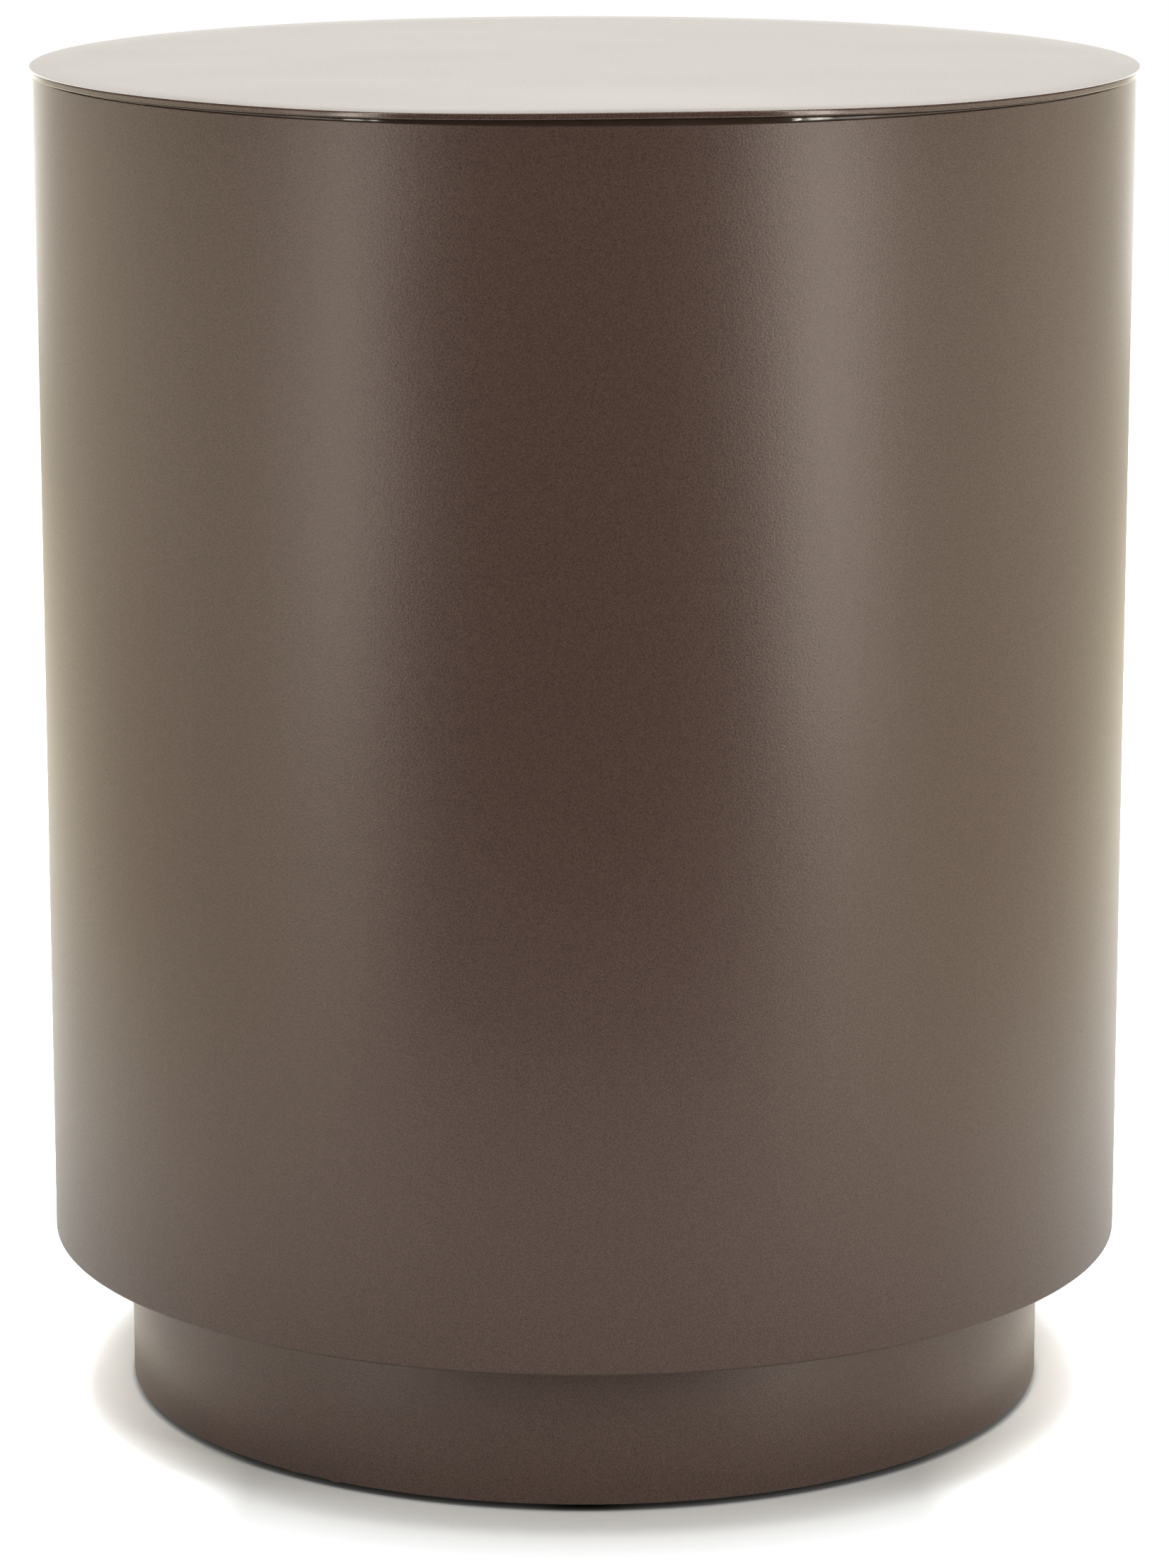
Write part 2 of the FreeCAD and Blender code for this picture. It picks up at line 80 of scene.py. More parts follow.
# The disc was bonded with its front edge standing a little high, over a rim that dips a little at
# the front, so the bead between them is thickest there. Away from the front the disc lies lower
# than in the frame, by PLATE_DROP, and at the back the rim stands at BACK_RIM.
PLATE_DROP = 1.2 * MM
PLATE_UNDERSIDE = PLATE_HIGH.z - PLATE_SHEET - PLATE_DROP
LIFT_REACH = 120 * MM
LIFT_TURN = math.radians(8)
BACK_RIM = RIM + 0.75 * MM
RIM_DIP = 1.0 * MM
DIP_REACH = 260 * MM

# The disc is lifted at LIFT_TURN by its edge, outside LIFTED_RADIUS. Rings across it let it spring.
LIFTED_RADIUS = DRUM_RADIUS - 1.0 * MM
RING_WIDTH = 14 * MM
RINGS = 12

# The bead. Its section runs from its lower outer edge round to its lower inner edge: the share of
# its height and the depth inwards. A groove runs along the tooled outer face, close under the
# disc. What lies less deep than BEAD_FACE is that face, which bulges out at the front.
BEAD_RADIUS = DRUM_RADIUS - 0.9 * MM
BEAD_WIDTH = 8.0 * MM
BEAD_FACE = 1.0 * MM
BULGE = 0.6 * MM
BULGE_REACH = 200 * MM
BEAD_SECTION = (
    (0.0, 0.1 * MM),
    (0.05, 0.04 * MM),
    (0.1, 0.0),
    (0.62, 0.0),
    (0.72, 0.07 * MM),
    (0.85, 0.4 * MM),
    (1.0, 0.15 * MM),
    (1.0, BEAD_WIDTH),
    (0.0, BEAD_WIDTH),
)

# Sags of the coat on the plinth's lower edge: turn from the front and drop. What lies lower than
# DRIP_LIP above the edge is drawn down.
DRIPS = ((math.radians(-31.6), 0.6 * MM), (math.radians(-37.7), 0.4 * MM))
DRIP_LIP = 0.2 * MM
DRIP_REACH = 2.4 * MM

# Steps round a full turn, fine enough that no facet shows on an edge, and across a round
ROUND_STEPS = 768
BASE_STEPS = 6
RIM_STEPS = 3
PLATE_STEPS = 5

# Places nearer than TOLERANCE are the same, and a face whose normal points up or down by more than
# FLAT is level. Edges sharper than SMOOTH_ANGLE stay crisp.
TOLERANCE = 0.01 * MM
FLAT = 0.999
SMOOTH_ANGLE = math.radians(40)


def clear_selection():
    bpy.ops.object.select_all(action="DESELECT")


def make_active(piece):
    clear_selection()
    piece.select_set(True)
    bpy.context.view_layer.objects.active = piece


def start_edit(piece, kind="VERT"):
    """Opens one piece in edit mode with nothing selected."""
    make_active(piece)
    bpy.ops.object.mode_set(mode="EDIT")
    bpy.ops.mesh.select_mode(type=kind)
    bpy.ops.mesh.select_all(action="DESELECT")


def end_edit():
    bpy.ops.object.mode_set(mode="OBJECT")


def select_vertices(piece, wanted):
    """Selects the vertices whose place is wanted, and the edges and faces between them."""
    mesh = bmesh.from_edit_mesh(piece.data)
    for vertex in mesh.verts:
        vertex.select_set(not vertex.hide and wanted(vertex.co))
    mesh.select_flush(True)
    bmesh.update_edit_mesh(piece.data)


def select_edges(piece, wanted):
    """Selects the edges whose ends are both wanted."""
    mesh = bmesh.from_edit_mesh(piece.data)
    for edge in mesh.edges:
        edge.select_set(all(wanted(vertex.co) for vertex in edge.verts))
    bmesh.update_edit_mesh(piece.data)


def select_flat_faces(piece, upward):
    """Selects the level faces that look up, with upward 1, or down, with upward -1."""
    mesh = bmesh.from_edit_mesh(piece.data)
    mesh.normal_update()
    for face in mesh.faces:
        face.select_set(face.normal.z * upward > FLAT)
    bmesh.update_edit_mesh(piece.data)


def face_outwards():
    bpy.ops.mesh.select_all(action="SELECT")
    bpy.ops.mesh.normals_make_consistent(inside=False)


def reach_from_axis(place):
    return math.hypot(place.x, place.y)


def near(first, second):
    return abs(first - second) < TOLERANCE


def at_turn(place, turn):
    """Whether a place lies at that turn from the front, to the nearest step."""
    return abs(math.atan2(place.x, -place.y) - turn) < math.pi / ROUND_STEPS


def circle(name, radius, level, fill="NOTHING"):
    """A ring of vertices round the table's axis, as a new piece at the origin."""
    clear_selection()
    bpy.ops.mesh.primitive_circle_add(
        vertices=ROUND_STEPS, radius=radius, fill_type=fill, location=(0, 0, level)
    )
    piece = bpy.context.object
    piece.name = name
    bpy.ops.object.transform_apply(location=True, rotation=True, scale=True)
    return piece


def extrude_up(height):
    bpy.ops.mesh.extrude_region_move(TRANSFORM_OT_translate={"value": (0, 0, height)})


def pull(move, reach, falloff="SMOOTH"):
    """Moves what is selected, and what lies round it less and less."""
    bpy.ops.transform.translate(
        value=move,
        use_proportional_edit=True,
        proportional_edit_falloff=falloff,
        proportional_size=reach,
    )


def lift_front(height):
    pull((0, 0, height), LIFT_REACH)


def dip_front(height):
    pull((0, 0, -height), DIP_REACH, "INVERSE_SQUARE")


def give_thickness(piece, thickness):
    """Turns the outer skin into a wall, its thickness inwards."""
    start_edit(piece)
    face_outwards()
    end_edit()
    solid = piece.modifiers.new("thickness", "SOLIDIFY")
    solid.thickness = thickness
    solid.offset = -1
    solid.use_even_offset = True
    bpy.ops.object.modifier_apply(modifier=solid.name)


def round_edge(piece, radius, level, size, steps):
    """Rounds the circular edge at that radius and level."""
    start_edit(piece, "EDGE")
    select_edges(
        piece, lambda place: near(reach_from_axis(place), radius) and near(place.z, level)
    )
    bpy.ops.mesh.bevel(offset=size, segments=steps, affect="EDGES")
    end_edit()


def rolled_wall(name, radius, sheet, low, high):
    """A wall of rolled and seam-welded sheet, its edges still sharp."""
    wall = circle(name, radius, low)
    start_edit(wall)
    bpy.ops.mesh.select_all(action="SELECT")
    extrude_up(high - low)
    end_edit()
    give_thickness(wall, sheet)
    return wall


def raise_weld(wall, radius, sheet):
    """Raises a faint ground weld up the back of the wall, the inner face left as it is."""
    start_edit(wall)
    select_vertices(wall, lambda place: reach_from_axis(place) < radius - sheet + TOLERANCE)
    bpy.ops.mesh.hide()
    select_vertices(wall, lambda place: place.y > 0 and near(place.x, 0))
    pull((0, WELD_RISE, 0), WELD_REACH)
    bpy.ops.mesh.reveal()
    end_edit()


def dip_rim(wall):
    """Lets the wall's rim down at the front."""
    start_edit(wall)
    select_vertices(wall, lambda place: at_turn(place, 0) and place.z > RIM)
    dip_front(RIM_DIP)
    end_edit()


def hang_drips(wall, level):
    """Lets two small sags of the coat hang from the wall's lower edge."""
    start_edit(wall)
    for turn, drop in DRIPS:
        select_vertices(
            wall, lambda place: at_turn(place, turn) and place.z < level + DRIP_LIP
        )
        pull((0, 0, -drop), DRIP_REACH)
    end_edit()


def make_top_plate():
    """The disc: both outer edges eased, its front edge sprung up."""
    plate = circle("top_plate_coated", PLATE_RADIUS, PLATE_UNDERSIDE, "NGON")
    start_edit(plate, "FACE")
    bpy.ops.mesh.select_all(action="SELECT")
    extrude_up(PLATE_SHEET)
    face_outwards()
    end_edit()
    round_edge(plate, PLATE_RADIUS, PLATE_UNDERSIDE, PLATE_BASE_ROUND, PLATE_STEPS)
    round_edge(plate, PLATE_RADIUS, PLATE_UNDERSIDE + PLATE_SHEET, PLATE_TOP_ROUND, PLATE_STEPS)
    start_edit(plate, "FACE")
    for upward in (1, -1):
        select_flat_faces(plate, upward)
        for ring in range(RINGS):
            bpy.ops.mesh.inset(thickness=RING_WIDTH)
    bpy.ops.mesh.select_mode(type="VERT")
    select_vertices(
        plate, lambda place: at_turn(place, LIFT_TURN) and reach_from_axis(place) > LIFTED_RADIUS
    )
    lift_front(PLATE_DROP)
    end_edit()
    return plate


def make_drum_wall():
    """The drum's wall: rounded over at its base, crisp at its rim, welded at the back."""
    base = DRUM_LOW.z - WALL_DROP
    wall = rolled_wall("drum_wall", DRUM_RADIUS, WALL_SHEET, base, BACK_RIM)
    round_edge(wall, DRUM_RADIUS, base, WALL_BASE_ROUND, BASE_STEPS)
    round_edge(wall, DRUM_RADIUS, BACK_RIM, WALL_RIM_ROUND, RIM_STEPS)
    dip_rim(wall)
    raise_weld(wall, DRUM_RADIUS, WALL_SHEET)
    return wall


def make_plinth_wall():
    """The plinth's wall: a low ring with an eased base, on which the coat has sagged."""
    base, top = PLINTH_LOW.z, PLINTH_HIGH.z
    wall = rolled_wall("plinth_wall", PLINTH_RADIUS, PLINTH_SHEET, base, top)
    round_edge(wall, PLINTH_RADIUS, base, PLINTH_BASE_ROUND, BASE_STEPS)
    round_edge(wall, PLINTH_RADIUS, top, PLINTH_RIM_ROUND, RIM_STEPS)
    raise_weld(wall, PLINTH_RADIUS, PLINTH_SHEET)
    hang_drips(wall, base)
    return wall


def make_rim_bead():
    """The adhesive bead, which fills what the rim and the disc leave between them."""
    bead = circle("rim_bead", BEAD_RADIUS, BACK_RIM)
    start_edit(bead)
    bpy.ops.mesh.select_all(action="SELECT")
    bpy.ops.object.vertex_group_assign_new()
    for (last_share, last_depth), (share, depth) in zip(BEAD_SECTION, BEAD_SECTION[1:]):
        extrude_up((share - last_share) * (PLATE_UNDERSIDE - BACK_RIM))
        scale = (BEAD_RADIUS - depth) / (BEAD_RADIUS - last_depth)
        bpy.ops.transform.resize(value=(scale, scale, 1), center_override=(0, 0, BACK_RIM))
        bpy.ops.object.vertex_group_remove_from(use_all_groups=True)
        bpy.ops.object.vertex_group_assign_new()
    for group, (share, depth) in zip(bead.vertex_groups, BEAD_SECTION):
        bead.vertex_groups.active = group
        bpy.ops.mesh.select_all(action="DESELECT")
        bpy.ops.object.vertex_group_select()
        bpy.ops.mesh.hide(unselected=True)
        select_vertices(bead, lambda place: at_turn(place, LIFT_TURN))
        lift_front(share * PLATE_DROP)
        select_vertices(bead, lambda place: at_turn(place, 0))
        dip_front((1 - share) * RIM_DIP)
        if depth < BEAD_FACE:
            pull((0, -BULGE, 0), BULGE_REACH)
        bpy.ops.mesh.reveal(select=False)
    bpy.ops.mesh.select_all(action="DESELECT")
    for group in (bead.vertex_groups[0], bead.vertex_groups[-1]):
        bead.vertex_groups.active = group
        bpy.ops.object.vertex_group_select()
    bpy.ops.mesh.bridge_edge_loops()
    face_outwards()
    end_edit()
    bpy.ops.object.vertex_group_remove(all=True)
    return bead


def hex_colour(code):
    """The linear colour of an sRGB hex code such as 5A4A41."""
    channels = [int(code[start:start + 2], 16) / 255 for start in (0, 2, 4)]
    linear = [c / 12.92 if c <= 0.04045 else ((c + 0.055) / 1.055) ** 2.4 for c in channels]
    return (*linear, 1.0)


def add_node(tree, kind, inputs=None, **settings):
    """Adds a node, sets its settings, and sets or links each input."""
    node = tree.nodes.new(kind)
    for name, setting in settings.items():
        setattr(node, name, setting)
    for name, given in (inputs or {}).items():
        if isinstance(given, bpy.types.NodeSocket):
            tree.links.new(given, node.inputs[name])
        else:
            node.inputs[name].default_value = given
    return node


# Inputs and output of a colour mix, which share their names with those of other mixes
MIX_SHARE, MIX_FIRST, MIX_SECOND = 0, 6, 7
MIX_COLOUR = 2


def new_material(name):
    material = bpy.data.materials.new(name)
    material.use_nodes = True
    material.node_tree.nodes.clear()
    return material, material.node_tree


def end_material(tree, shader):
    add_node(tree, "ShaderNodeOutputMaterial", {"Surface": shader.outputs[0]})


def ramped(tree, level, *ramps):
    """The level times each ramp. A ramp takes its source, between two values, from one level to
    another, and holds those levels beyond them."""
    for source, (first, last, start, end) in ramps:
        ramp = add_node(
            tree,
            "ShaderNodeMapRange",
            {"Value": source, "From Min": first, "From Max": last, "To Min": start, "To Max": end},
        )
        factors = {0: level, 1: ramp.outputs["Result"]}
        level = add_node(tree, "ShaderNodeMath", factors, operation="MULTIPLY").outputs["Value"]
    return level


# Every pattern's grid is turned out of line, because a face that lies along it shows it as bands
PATTERN_TURN = (0.5, 0.8, 0.3)

# Nearly all of a noise lies between these values
NOISE_LOW, NOISE_HIGH = 0.35, 0.65


def pattern_place(tree):
    """The place on the piece from which its patterns are read."""
    place = add_node(tree, "ShaderNodeTexCoord").outputs["Object"]
    turned = add_node(tree, "ShaderNodeMapping", {"Vector": place, "Rotation": PATTERN_TURN})
    return turned.outputs["Vector"]


def mottled(tree, place, size, detail, first, second):
    """A colour that drifts from the first to the second over patches of that size."""
    patches = {"Vector": place, "Scale": 1 / size, "Detail": detail}
    colours = {
        MIX_SHARE: add_node(tree, "ShaderNodeTexNoise", patches).outputs["Fac"],
        MIX_FIRST: hex_colour(first),
        MIX_SECOND: hex_colour(second),
    }
    return add_node(tree, "ShaderNodeMix", colours, data_type="RGBA").outputs[MIX_COLOUR]


def wandering(tree, place, size, detail, low, high):
    """A value that wanders between low and high over patches of that size."""
    patches = {"Vector": place, "Scale": 1 / size, "Detail": detail}
    source = add_node(tree, "ShaderNodeTexNoise", patches).outputs["Fac"]
    return ramped(tree, 1.0, (source, (NOISE_LOW, NOISE_HIGH, low, high)))


def uneven(tree, place, size, detail, depth, roughness=0.5, over=None):
    """A skin with bumps of that size and depth, over broader ones if any are given."""
    patches = {"Vector": place, "Scale": 1 / size, "Detail": detail, "Roughness": roughness}
    height = add_node(tree, "ShaderNodeTexNoise", patches).outputs["Fac"]
    skin = {"Strength": 1.0, "Distance": depth, "Height": height}
    if over:
        skin["Normal"] = over
    return add_node(tree, "ShaderNodeBump", skin).outputs["Normal"]


# Polyester powder coat, semi-matt mocha, sprayed and stoved: a fine orange peel that breaks up
# every reflection, over a colour that is even but for a faint speckle of its pigments. The peel
# and the speckle are really about 0.3 mm across, and are drawn a little coarser so that they show.
# The rolled sheet under the coat is not quite true, and its slight waves bend the reflections.
COAT_DARK = "463731"
COAT_LIGHT = "644F49"
COAT_SHEEN = "FFF5EF"
COAT_ROUGHNESS = 0.34
COAT_IOR = 1.5
SPECKLE = 0.4 * MM
PEEL = 0.8 * MM
PEEL_DEPTH = 0.085 * MM
PEEL_ROUGHNESS = 0.62
WAVE = 110 * MM
WAVE_DEPTH = 1.1 * MM

# On the disc's cut edge the melting powder draws thin, so there the coat is smoother and glossier.
# It changes between these two radii.
EDGE_START = PLATE_RADIUS - 1.0 * MM
EDGE_END = PLATE_RADIUS - 0.6 * MM
EDGE_ROUGHNESS = 0.14
EDGE_PEEL_DEPTH = 0.02 * MM


def towards_edge(tree, inside, at_edge):
    """A value that is one on the disc's face and another on its cut edge."""
    place = add_node(tree, "ShaderNodeTexCoord").outputs["Object"]
    flat = add_node(tree, "ShaderNodeVectorMath", {0: place, 1: (1, 1, 0)}, operation="MULTIPLY")
    reach = add_node(tree, "ShaderNodeVectorMath", {0: flat.outputs[0]}, operation="LENGTH")
    return ramped(tree, 1.0, (reach.outputs["Value"], (EDGE_START, EDGE_END, inside, at_edge)))


def powder_coat(name, on_disc=False):
    material, tree = new_material(name)
    place = pattern_place(tree)
    roughness, depth = COAT_ROUGHNESS, PEEL_DEPTH
    if on_disc:
        roughness = towards_edge(tree, roughness, EDGE_ROUGHNESS)
        depth = towards_edge(tree, depth, EDGE_PEEL_DEPTH)
    pigments = {
        MIX_SHARE: wandering(tree, place, SPECKLE, 0.0, 0.0, 1.0),
        MIX_FIRST: hex_colour(COAT_DARK),
        MIX_SECOND: hex_colour(COAT_LIGHT),
    }
    colour = add_node(tree, "ShaderNodeMix", pigments, data_type="RGBA").outputs[MIX_COLOUR]
    waves = uneven(tree, place, WAVE, 1.0, WAVE_DEPTH)
    coat = {
        "Base Color": colour,
        "Roughness": roughness,
        "IOR": COAT_IOR,
        "Specular Tint": hex_colour(COAT_SHEEN),
        "Normal": uneven(tree, place, PEEL, 3.0, depth, PEEL_ROUGHNESS, waves),
    }
    end_material(tree, add_node(tree, "ShaderNodeBsdfPrincipled", coat))
    return material


# Polyurethane adhesive, black and elastic, gunned on and tooled wet: it sets with a smooth skin
# that reflects like lacquer, a little wavy along the bead where the tool was drawn.
ADHESIVE_COLOURS = ("352A24", "42362F")
ADHESIVE_PATCH = 9 * MM
ADHESIVE_ROUGHNESS = (0.06, 0.1)
ADHESIVE_GLOSS = 3 * MM
ADHESIVE_IOR = 1.5
TOOL_WAVE = 4 * MM
TOOL_WAVE_DEPTH = 0.04 * MM


def black_adhesive():
    material, tree = new_material("polyurethane_adhesive")
    place = pattern_place(tree)
    skin = {
        "Base Color": mottled(tree, place, ADHESIVE_PATCH, 1.0, *ADHESIVE_COLOURS),
        "Roughness": wandering(tree, place, ADHESIVE_GLOSS, 1.0, *ADHESIVE_ROUGHNESS),
        "IOR": ADHESIVE_IOR,
        "Normal": uneven(tree, place, TOOL_WAVE, 1.0, TOOL_WAVE_DEPTH),
    }
    end_material(tree, add_node(tree, "ShaderNodeBsdfPrincipled", skin))
    return material


# Bright zinc, electroplated on cold-headed steel: satin, with faint stains of the passivation
ZINC_COLOURS = ("BEC3C9", "D2D3D0")
ZINC_STAIN = 4 * MM
ZINC_ROUGHNESS = (0.24, 0.38)
ZINC_GLOSS = 1.5 * MM
ZINC_GRAIN = 0.5 * MM
ZINC_GRAIN_DEPTH = 0.01 * MM


def zinc_plating():
    material, tree = new_material("bright_zinc_plating")
    place = pattern_place(tree)
    skin = {
        "Base Color": mottled(tree, place, ZINC_STAIN, 2.0, *ZINC_COLOURS),
        "Metallic": 1.0,
        "Roughness": wandering(tree, place, ZINC_GLOSS, 2.0, *ZINC_ROUGHNESS),
        "Normal": uneven(tree, place, ZINC_GRAIN, 1.0, ZINC_GRAIN_DEPTH),
    }
    end_material(tree, add_node(tree, "ShaderNodeBsdfPrincipled", skin))
    return material


# Polyamide, black through and through, injection moulded: the satin skin of a spark-eroded mould.
# The mould's grain is really about 0.1 mm across, and is drawn coarser so that it shows.
NYLON_COLOURS = ("1B1B1C", "222223")
NYLON_PATCH = 6 * MM
NYLON_ROUGHNESS = (0.4, 0.52)
NYLON_GLOSS = 1.2 * MM
NYLON_IOR = 1.53
NYLON_GRAIN = 0.4 * MM
NYLON_GRAIN_DEPTH = 0.03 * MM


def black_nylon():
    material, tree = new_material("moulded_nylon")
    place = pattern_place(tree)
    skin = {
        "Base Color": mottled(tree, place, NYLON_PATCH, 2.0, *NYLON_COLOURS),
        "Roughness": wandering(tree, place, NYLON_GLOSS, 1.0, *NYLON_ROUGHNESS),
        "IOR": NYLON_IOR,
        "Normal": uneven(tree, place, NYLON_GRAIN, 1.0, NYLON_GRAIN_DEPTH),
    }
    end_material(tree, add_node(tree, "ShaderNodeBsdfPrincipled", skin))
    return material


MATERIALS = {
    "mocha_powder_coat": powder_coat("polyester_powder_coat"),
    "black_adhesive": black_adhesive(),
    "zinc_plated_steel": zinc_plating(),
    "black_nylon": black_nylon(),
}
DISC_COAT = powder_coat("polyester_powder_coat_on_disc", on_disc=True)


def finish_piece(piece, node, slot, finish=None):
    """Shades a modelled piece, gives it its finish, and lets it stand for its CAD node."""
    make_active(piece)
    bpy.ops.object.shade_smooth_by_angle(angle=SMOOTH_ANGLE)
    piece.data.materials.clear()
    piece.data.materials.append(finish or MATERIALS[slot])
    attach(piece, "root")
    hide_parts(node)


def dress_solids():
    """Gives every solid of the frame the finish of its slot in the record."""
    for row in frame["record"]["subparts"]:
        node = frame["nodes"][row["node"]]
        node.data.materials.clear()
        node.data.materials.append(MATERIALS[row["material_slot"]])


def build_table():
    dress_solids()
    finish_piece(make_top_plate(), "top_plate", "mocha_powder_coat", DISC_COAT)
    finish_piece(make_rim_bead(), "rim_seal", "black_adhesive")
    finish_piece(make_drum_wall(), "drum_shell", "mocha_powder_coat")
    finish_piece(make_plinth_wall(), "plinth_shell", "mocha_powder_coat")


# Camera, fitted to the outlines in the photograph, in metres, degrees and millimetres of lens
CAMERA_PLACE = (0, -2.0715, 0.679)
CAMERA_PITCH = math.radians(12.35)
CAMERA_LENS = 130.1
CAMERA_SENSOR = 36.0
CAMERA_NEAR = 0.05
CAMERA_FAR = 100


def add_camera():
    data = bpy.data.cameras.new("camera")
    data.lens = CAMERA_LENS
    data.sensor_width = CAMERA_SENSOR
    data.clip_start = CAMERA_NEAR
    data.clip_end = CAMERA_FAR
    camera = bpy.data.objects.new("camera", data)
    camera.location = CAMERA_PLACE
    camera.rotation_euler = (math.radians(90) - CAMERA_PITCH, 0, 0)
    bpy.context.scene.collection.objects.link(camera)
    bpy.context.scene.camera = camera


# The studio light is a little warm, and warmer off the walls beside the table, which the white
# background is too bright to show.
LIGHT_COLOUR = hex_colour("FFFCF3")
ROOM_COLOUR = hex_colour("FFF9E2")
WHITE = hex_colour("FFFFFF")

# Soft boxes round the table, each aimed level at its axis: name, degrees from the camera towards
# its right, level, width and height in metres, and power in watts. The strips draw the two tall
# highlights on the drum, and the panels light its sides and its lower part.
LAMP_DISTANCE = 1.9
LAMPS = (
    ("strip_right_front", 42.0, 1.21, 0.026, 2.4, 7.0),
    ("strip_right_back", 46.6, 0.91, 0.13, 1.8, 12.2),
    ("panel_right", 54.5, 0.41, 0.3, 0.8, 2.2),
    ("panel_right_low", 51.5, 0.14, 0.2, 0.24, 0.35),
    ("strip_left", -45.8, 1.21, 0.13, 2.4, 10.8),
    ("strip_left_front", -41.6, 1.21, 0.04, 2.4, 4.5),
    ("panel_left", -54.5, 0.41, 0.3, 0.8, 1.8),
    ("panel_left_low", -49.0, 0.14, 0.2, 0.24, 0.6),
)

# The soft box overhead, a little behind the table: place, aim, width, height and power
OVERHEAD = ((0, 0.45, 2.1), (0, 0, 0.2), 1.4, 2.2, 35)


def add_lamp(name, place, aim, width, height, power):
    data = bpy.data.lights.new(name, "AREA")
    data.shape = "RECTANGLE"
    data.size = width
    data.size_y = height
    data.energy = power
    data.color = LIGHT_COLOUR[:3]
    lamp = bpy.data.objects.new(name, data)
    lamp.location = place
    direction = Vector(aim) - Vector(place)
    lamp.rotation_euler = direction.to_track_quat("-Z", "Y").to_euler()
    bpy.context.scene.collection.objects.link(lamp)


def add_lamps():
    for name, degrees, level, width, height, power in LAMPS:
        turn = math.radians(degrees)
        place = (LAMP_DISTANCE * math.sin(turn), -LAMP_DISTANCE * math.cos(turn), level)
        add_lamp(name, place, (0, 0, level), width, height, power)
    add_lamp("overhead", *OVERHEAD)


# The floor is white and overexposed, as in the studio, so that its shadow is tight, and that shadow
# is
# painted into its colour to the camera: a painted contact shadow, darker where less open sky lies
# within SHADE_REACH. How it is seen and what it throws back are set apart, by ramps over its
# places:
# each holds two values, most of them in metres, and the levels there.
FLOOR_SIZE = 4.0
FLOOR_MIDDLE = (0, 1.25, 0)
SHADE_REACH = 56 * MM
SHADE_SAMPLES = 16

# As seen, in painted shade and painted light: painted dark under the plinth, and painted brighter
# to both sides, where the shadow ends. Behind the table the painted bright part starts a little
# further out.
PAINTED_SHADE_UNDER_PLINTH = (PLINTH_RADIUS - 1.5 * MM, PLINTH_RADIUS + 1.5 * MM, 0.22, 1.0)
PAINTED_LIGHT_ASIDE = (0.12, 0.19, 2.25, 6.0)
STEP_OUT = (0.0, 0.1, 0.0, 0.04)
SHADE_TO_TINT = (0.4, 1.0, 0.0, 1.0)
SEEN_TINTS = ("FFFFFF", "F0F5FF")

# The floor close beside the plinth, which the plinth mirrors at its left and right, where painted
# light is thrown back
CLOSE_ASIDE = (0.1, 0.2, 0.0, 1.0)
CLOSE_REACH = (0.2, 0.28, 1.0, 0.0)
CLOSE_BACK = (-0.2, -0.06, 0.0, 1.0)

# As mirrored, painted light that the coat shows as painted reflections: brighter outwards, close
# beside the plinth and far behind, and warmer to the sides. Only mirrored light is thrown back at
# this level, and diffuse light at a ninth of it.
MIRRORED_REACH = (0.2, 0.5, 1.25, 2.1)
MIRRORED_CLOSE = (0.0, 1.0, 1.0, 2.2)
MIRRORED_BACK = (0.3, 2.3, 1.0, 2.3)
GLOSSY_TO_LEVEL = (0.0, 1.0, 0.11, 1.0)
WARM_ASIDE = (0.25, 0.9, 0.0, 1.0)
WARM_CLOSE_SHARE = 0.5
MIRRORED_TINTS = ("F8FBFF", "FFF9E4")


def tinted(tree, share, tints, level):
    """A colour between two tints, at that level."""
    first, second = tints
    colours = {MIX_SHARE: share, MIX_FIRST: hex_colour(first), MIX_SECOND: hex_colour(second)}
    tint = add_node(tree, "ShaderNodeMix", colours, data_type="RGBA").outputs[MIX_COLOUR]
    bright = {"Vector": tint, "Scale": level}
    return add_node(tree, "ShaderNodeVectorMath", bright, operation="SCALE").outputs[0]


def floor_seen_painted_shadow(tree, reach, aside, back):
    """The floor's colour to the camera, with the table's contact shadow painted into it."""
    # Painted contact shadow: the seen level falls with how closed in a place is within SHADE_REACH.
    within = {"Distance": SHADE_REACH}
    contact = add_node(tree, "ShaderNodeAmbientOcclusion", within, samples=SHADE_SAMPLES)
    shade = contact.outputs["AO"]
    step = ramped(tree, 1.0, (back, STEP_OUT))
    outward = add_node(tree, "ShaderNodeMath", {0: aside, 1: step}, operation="SUBTRACT")
    level = ramped(tree, shade, (reach, PAINTED_SHADE_UNDER_PLINTH), (outward.outputs["Value"], PAINTED_LIGHT_ASIDE))
    return tinted(tree, ramped(tree, 1.0, (shade, SHADE_TO_TINT)), SEEN_TINTS, level)


def floor_mirrored_painted_light(tree, glossy, reach, aside, back):
    """The floor's colour in the light that it throws back, with painted light beside and behind the
    table.
    """
    # Painted light: the level thrown back rises close beside the plinth, outwards and far behind.
    close = ramped(tree, 1.0, (aside, CLOSE_ASIDE), (reach, CLOSE_REACH), (back, CLOSE_BACK))
    level = ramped(
        tree,
        1.0,
        (reach, MIRRORED_REACH),
        (close, MIRRORED_CLOSE),
        (back, MIRRORED_BACK),
        (glossy, GLOSSY_TO_LEVEL),
    )
    terms = {0: close, 1: WARM_CLOSE_SHARE, 2: ramped(tree, 1.0, (aside, WARM_ASIDE))}
    warmth = add_node(tree, "ShaderNodeMath", terms, operation="MULTIPLY_ADD")
    return tinted(tree, warmth.outputs["Value"], MIRRORED_TINTS, level)
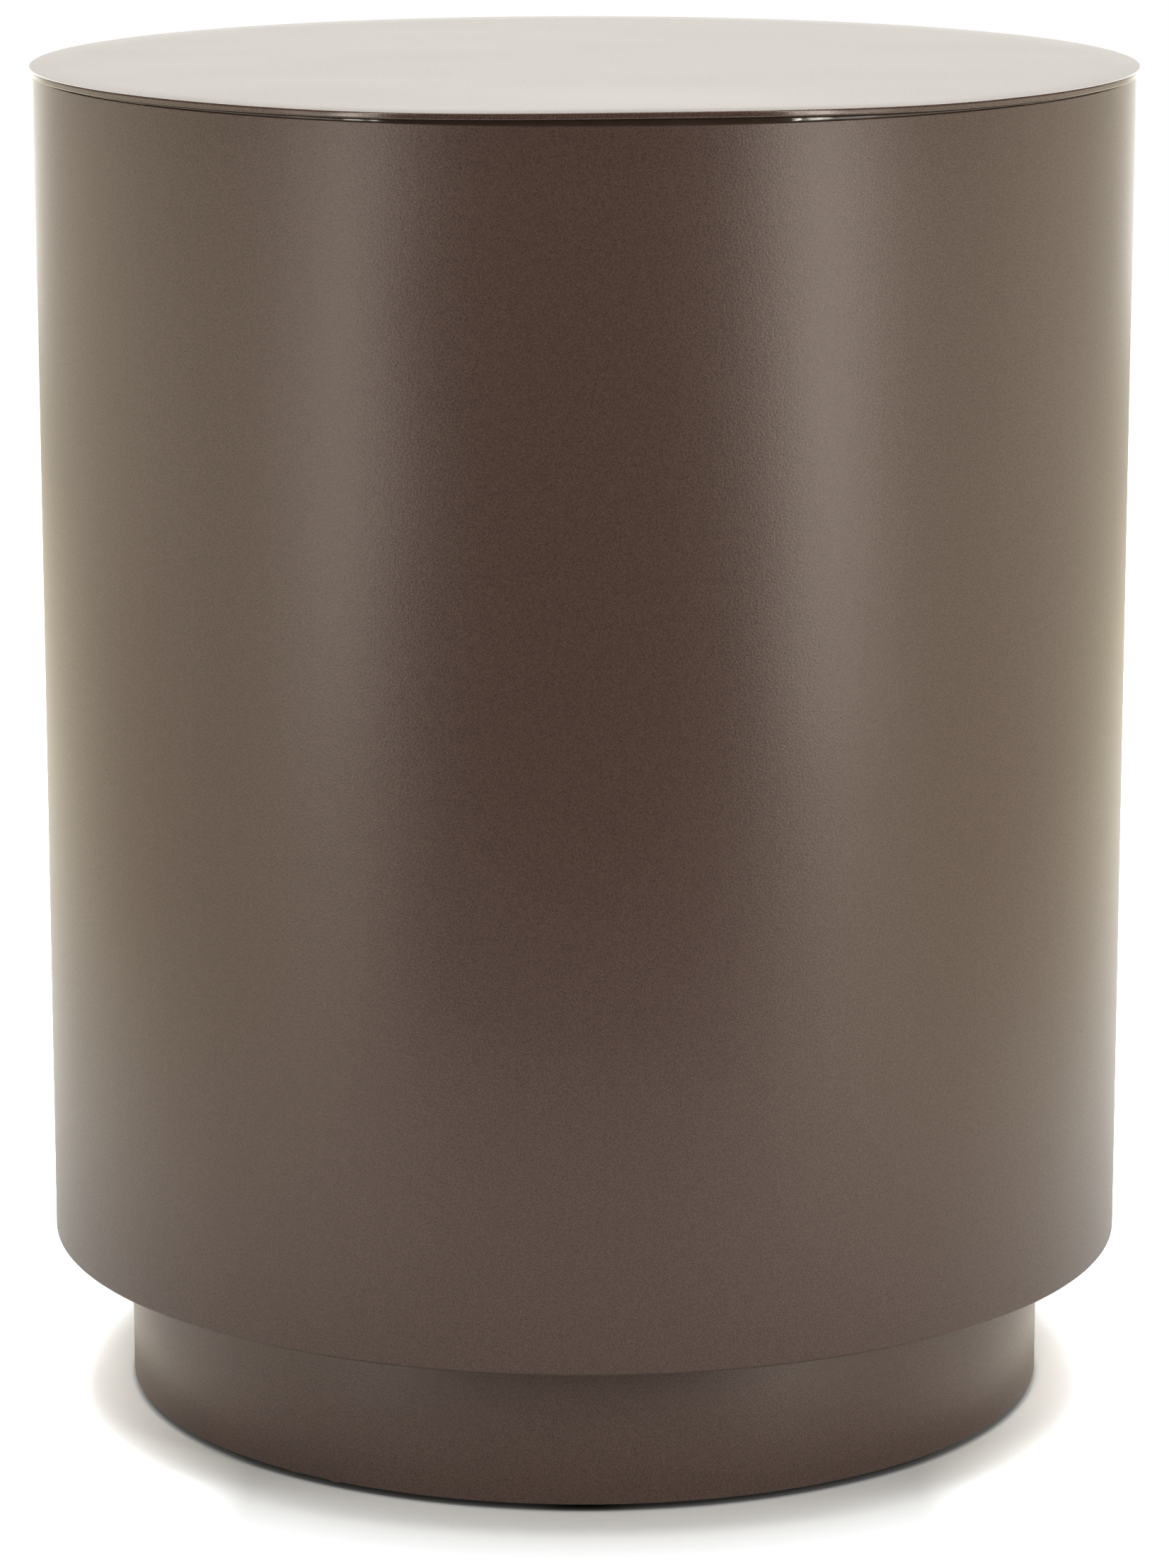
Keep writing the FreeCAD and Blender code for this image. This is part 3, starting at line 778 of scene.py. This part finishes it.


# A white floor, with a painted contact shadow to the camera and painted light in what it throws
# back
def white_floor_painted_shade_and_light():
    material, tree = new_material("white_floor_painted_shade_and_light")
    path = add_node(tree, "ShaderNodeLightPath")
    place = add_node(tree, "ShaderNodeTexCoord").outputs["Object"]
    length = add_node(tree, "ShaderNodeVectorMath", {0: place}, operation="LENGTH")
    split = add_node(tree, "ShaderNodeSeparateXYZ", {0: place})
    across = add_node(tree, "ShaderNodeMath", {0: split.outputs["X"]}, operation="ABSOLUTE")
    where = (length.outputs["Value"], across.outputs["Value"], split.outputs["Y"])
    colours = {
        MIX_SHARE: path.outputs["Is Camera Ray"],
        MIX_FIRST: floor_mirrored_painted_light(tree, path.outputs["Is Glossy Ray"], *where),
        MIX_SECOND: floor_seen_painted_shadow(tree, *where),
    }
    colour = add_node(tree, "ShaderNodeMix", colours, data_type="RGBA").outputs[MIX_COLOUR]
    end_material(tree, add_node(tree, "ShaderNodeBsdfDiffuse", {"Color": colour}))
    return material


def add_floor():
    clear_selection()
    bpy.ops.mesh.primitive_plane_add(size=FLOOR_SIZE, location=FLOOR_MIDDLE)
    floor = bpy.context.object
    floor.name = "floor"
    bpy.ops.object.transform_apply(location=True, rotation=True, scale=True)
    floor.data.materials.append(white_floor_painted_shade_and_light())


# The backdrop is a low band of light beside the table and behind it, dark in front and above, and
# a bright patch behind. Its ramps are over the share of a direction that points back or up.
BESIDE_FRONT = (-0.56, -0.46, 0.0, 2.0)
BESIDE_BACK = (0.2, 0.95, 1.0, 0.6)
BESIDE_LOW = (-0.36, -0.16, 0.0, 1.0)
BESIDE_HIGH = (-0.02, 0.4, 1.0, 0.0)
BEHIND_MIDDLE = (0.82, 0.96, 0.0, 1.91)
BEHIND_HIGH = (0.3, 0.6, 1.0, 0.0)


def add_world():
    """Plain white for the camera, and otherwise the backdrop."""
    world = bpy.data.worlds.new("studio")
    bpy.context.scene.world = world
    world.use_nodes = True
    tree = world.node_tree
    tree.nodes.clear()
    path = add_node(tree, "ShaderNodeLightPath")
    direction = add_node(tree, "ShaderNodeTexCoord").outputs["Generated"]
    split = add_node(tree, "ShaderNodeSeparateXYZ", {0: direction})
    back, up = split.outputs["Y"], split.outputs["Z"]
    beside = ramped(
        tree, 1.0, (back, BESIDE_FRONT), (back, BESIDE_BACK), (up, BESIDE_LOW), (up, BESIDE_HIGH)
    )
    behind = ramped(tree, 1.0, (back, BEHIND_MIDDLE), (up, BEHIND_HIGH))
    glows = [
        add_node(tree, "ShaderNodeBackground", {"Color": colour, "Strength": strength}).outputs[0]
        for colour, strength in ((ROOM_COLOUR, beside), (WHITE, behind), (WHITE, 1.0))
    ]
    room = add_node(tree, "ShaderNodeAddShader", {0: glows[0], 1: glows[1]})
    views = {0: path.outputs["Is Camera Ray"], 1: room.outputs[0], 2: glows[2]}
    seen = add_node(tree, "ShaderNodeMixShader", views)
    add_node(tree, "ShaderNodeOutputWorld", {"Surface": seen.outputs[0]})


add_camera()
build_table()
add_floor()
add_lamps()
add_world()
bpy.context.scene.view_settings.view_transform = "Standard"
